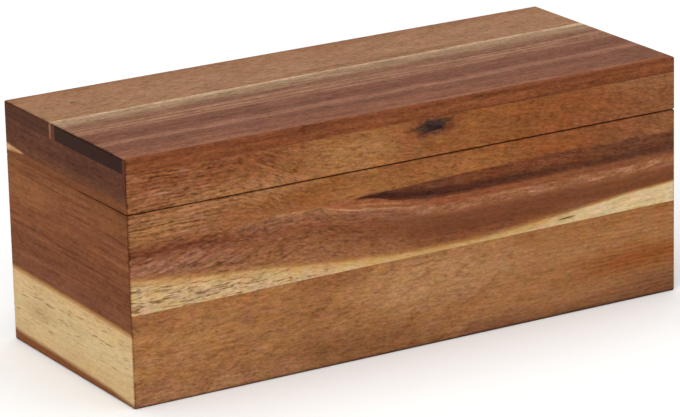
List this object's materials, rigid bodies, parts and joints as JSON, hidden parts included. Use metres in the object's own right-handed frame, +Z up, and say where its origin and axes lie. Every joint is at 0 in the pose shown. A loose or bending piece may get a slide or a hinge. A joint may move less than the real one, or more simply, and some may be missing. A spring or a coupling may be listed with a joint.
{
  "type": "wooden tea box",
  "caption": "Long low hardwood box with mitred corners, a sawn-off lid on stop hinges at the back, and cross dividers that make compartments for tea bags.",
  "frame": {"origin": "middle of the underside, under the middle of the wooden box without its hinge barrels", "axes": "+X along the box's length to the right of someone who faces its front, +Y to the back, where the hinges are, and +Z up"},
  "size_m": [0.3, 0.1248, 0.1185],
  "materials": {
    "acacia_golden": "oiled, satin",
    "acacia_red_brown": "oiled, satin",
    "acacia_purple_brown": "oiled, satin",
    "acacia_tan": "oiled, satin",
    "acacia_inside": "oiled, satin",
    "brass": "brushed",
    "screw_brass": "satin"
  },
  "bodies": {
    "body": {"body_front_lower_board": "acacia_golden", "body_front_upper_board": "acacia_golden", "body_back_lower_board": "acacia_red_brown", "body_back_upper_board": "acacia_golden", "body_left_board": "acacia_red_brown", "body_right_lower_board": "acacia_golden", "body_right_upper_board": "acacia_red_brown", "base_panel": "acacia_inside", "divider_1": "acacia_inside", "divider_2": "acacia_inside", "left_hinge_body_leaf": "brass", "left_hinge_pin": "brass", "left_hinge_body_screws": "screw_brass", "right_hinge_body_leaf": "brass", "right_hinge_pin": "brass", "right_hinge_body_screws": "screw_brass"},
    "lid": {"lid_front_rail": "acacia_golden", "lid_back_rail": "acacia_golden", "lid_right_rail": "acacia_red_brown", "lid_left_lower_rail": "acacia_red_brown", "lid_left_upper_rail": "acacia_purple_brown", "lid_top_front_board": "acacia_purple_brown", "lid_top_back_board": "acacia_tan", "left_hinge_lid_leaf": "brass", "left_hinge_lid_screws": "screw_brass", "right_hinge_lid_leaf": "brass", "right_hinge_lid_screws": "screw_brass"}
  },
  "joints": [
    {"name": "lid_hinge", "type": "hinge", "parent": "body", "child": "lid", "pos_m": [0, 0.0623, 0.09205], "axis": [-1, 0, 0], "range_deg": [0, 100]}
  ]
}
